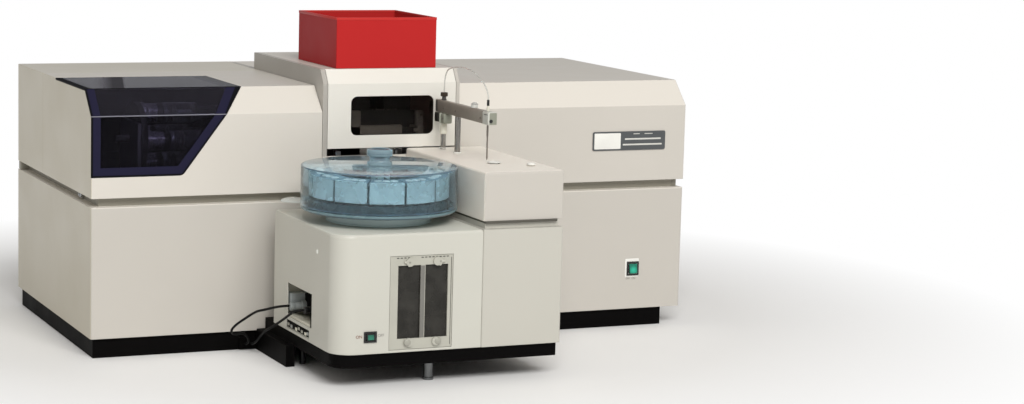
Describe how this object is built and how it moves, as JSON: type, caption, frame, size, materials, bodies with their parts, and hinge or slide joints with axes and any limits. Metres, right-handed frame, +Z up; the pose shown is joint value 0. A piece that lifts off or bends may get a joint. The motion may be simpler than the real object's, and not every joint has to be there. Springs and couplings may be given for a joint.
{
  "type": "atomic absorption spectrometer",
  "caption": "Bench atomic absorption spectrometer: a wide cabinet with a raised graphite furnace bay and red chimney, and an autosampler with carousel and swinging arm in front.",
  "frame": {"origin": "on the bench plane, under the middle of the cabinet's footprint", "axes": "+X to the right along the front, +Y from the front to the back, +Z up"},
  "size_m": [1.1, 0.8696, 0.5613],
  "materials": {
    "cream_paint": "satin cream paint",
    "warm_white_paint": "satin warm white paint",
    "black_paint": "matt black paint",
    "dark_casting": "dark anodised casting",
    "red_enamel": "glossy red enamel",
    "smoked_acrylic": "smoked acrylic",
    "dark_window": "dark polished sheet",
    "blue_clear": "clear blue-tinted plastic",
    "white_plastic": "white plastic",
    "cream_plastic": "cream plastic",
    "black_plastic": "black plastic",
    "green_plastic": "translucent green plastic",
    "arm_grey": "grey anodised",
    "polished_steel": "polished",
    "zinc_steel": "zinc plated",
    "graphite": null,
    "lamp_glass": "clear glass envelope",
    "clear_tube": "translucent tubing",
    "cable_rubber": "black cable sheath"
  },
  "bodies": {
    "spectrometer": {"base_plinth": "black_paint", "lower_body": "cream_paint", "rear_panel": "cream_paint", "optical_bench": "dark_casting", "lamp_housing": "cream_paint", "lamp_rear_cover": "cream_paint", "lid_hinge_pin": "zinc_steel", "turret_bracket": "zinc_steel", "centre_frame": "cream_paint", "centre_top": "cream_paint", "furnace_cradle": "zinc_steel", "graphite_tube": "graphite", "mono_housing": "cream_paint", "monochromator": "dark_casting", "nameplate": "black_plastic", "power_switch_bezel": "black_plastic", "mains_inlet": "black_plastic", "power_supply": "zinc_steel", "support_frame": "black_paint", "front_leg": "zinc_steel", "left_leg": "zinc_steel", "platform_housing": "cream_paint", "tower_housing": "cream_paint", "tower_head": "warm_white_paint", "bay_frame": "white_plastic", "bay_window": "dark_window", "syringe_block": "cream_plastic", "sampler_switch_bezel": "black_plastic", "socket_panel": "zinc_steel", "signal_cable_1": "cable_rubber", "signal_cable_2": "cable_rubber", "carousel_base": "white_plastic", "park_post": "polished_steel", "wash_cup": "white_plastic"},
    "lamp_lid_body": {"lamp_lid": "smoked_acrylic"},
    "turret_body": {"lamp_turret": "dark_casting", "cathode_lamp_1": "lamp_glass", "cathode_lamp_2": "lamp_glass", "cathode_lamp_3": "lamp_glass", "cathode_lamp_4": "lamp_glass"},
    "furnace_cover_body": {"furnace_cover": "warm_white_paint", "furnace_window": "dark_window"},
    "chimney_body": {"fume_chimney": "red_enamel"},
    "furnace_jaw_body": {"furnace_jaw": "dark_casting"},
    "power_rocker_body": {"power_switch_rocker": "green_plastic"},
    "sampler_rocker_body": {"sampler_switch_rocker": "green_plastic"},
    "lift_body": {"lift_column": "polished_steel", "column_collar": "cream_plastic"},
    "arm_body": {"arm_clamp": "white_plastic", "sampler_arm": "arm_grey", "needle_clip": "white_plastic", "sample_needle": "polished_steel", "sample_capillary": "clear_tube"},
    "thumb_nut_body": {"thumb_nut": "zinc_steel"},
    "height_nut_body": {"needle_height_nut": "white_plastic"},
    "tray_body": {"sample_tray": "blue_clear"},
    "drum_cover_body": {"carousel_cover": "blue_clear", "cover_knob": "blue_clear"},
    "plunger_1_body": {"syringe_plunger_1": "polished_steel"},
    "plunger_2_body": {"syringe_plunger_2": "polished_steel"}
  },
  "joints": [
    {"name": "lamp_lid_hinge", "type": "hinge", "parent": "spectrometer", "child": "lamp_lid_body", "pos_m": [-0.41575, -0.0178, 0.4429], "axis": [-1, 0, 0], "range_deg": [0, 75]},
    {"name": "turret_spin", "type": "hinge", "parent": "spectrometer", "child": "turret_body", "pos_m": [-0.45, -0.149, 0.3525], "axis": [1, 0, 0], "continuous": true},
    {"name": "furnace_cover_lift_off", "type": "slide", "parent": "spectrometer", "child": "furnace_cover_body", "axis": [0, 0, 1], "range_m": [0, 0.12]},
    {"name": "chimney_lift_off", "type": "slide", "parent": "spectrometer", "child": "chimney_body", "axis": [0, 0, 1], "range_m": [0, 0.1]},
    {"name": "furnace_jaw_slide", "type": "slide", "parent": "spectrometer", "child": "furnace_jaw_body", "axis": [1, 0, 0], "range_m": [0, 0.02]},
    {"name": "power_rocker_tilt", "type": "hinge", "parent": "spectrometer", "child": "power_rocker_body", "pos_m": [0.452, -0.259, 0.1065], "axis": [1, 0, 0], "range_deg": [0, 16]},
    {"name": "sampler_rocker_tilt", "type": "hinge", "parent": "spectrometer", "child": "sampler_rocker_body", "pos_m": [-0.192, -0.606, 0.0838], "axis": [1, 0, 0], "range_deg": [0, 16]},
    {"name": "column_lift", "type": "slide", "parent": "spectrometer", "child": "lift_body", "axis": [0, 0, 1], "range_m": [0, 0.07]},
    {"name": "arm_swing", "type": "hinge", "parent": "lift_body", "child": "arm_body", "pos_m": [0.0605, -0.289, 0.401], "axis": [0, 0, -1], "range_deg": [-15, 78]},
    {"name": "thumb_nut_turn", "type": "hinge", "parent": "arm_body", "child": "thumb_nut_body", "pos_m": [0.0605, -0.289, 0.4228], "axis": [0, 0, 1], "continuous": true},
    {"name": "height_nut_turn", "type": "hinge", "parent": "arm_body", "child": "height_nut_body", "pos_m": [0.0605, -0.419, 0.4228], "axis": [0, 0, 1], "continuous": true},
    {"name": "tray_spin", "type": "hinge", "parent": "spectrometer", "child": "tray_body", "pos_m": [-0.12625, -0.4656, 0.2718], "axis": [0, 0, 1], "continuous": true},
    {"name": "drum_cover_lift_off", "type": "slide", "parent": "spectrometer", "child": "drum_cover_body", "axis": [0, 0, 1], "range_m": [0, 0.06]},
    {"name": "plunger_1_slide", "type": "slide", "parent": "spectrometer", "child": "plunger_1_body", "axis": [0, 0, 1], "range_m": [0, 0.038]},
    {"name": "plunger_2_slide", "type": "slide", "parent": "spectrometer", "child": "plunger_2_body", "axis": [0, 0, 1], "range_m": [0, 0.038]}
  ]
}
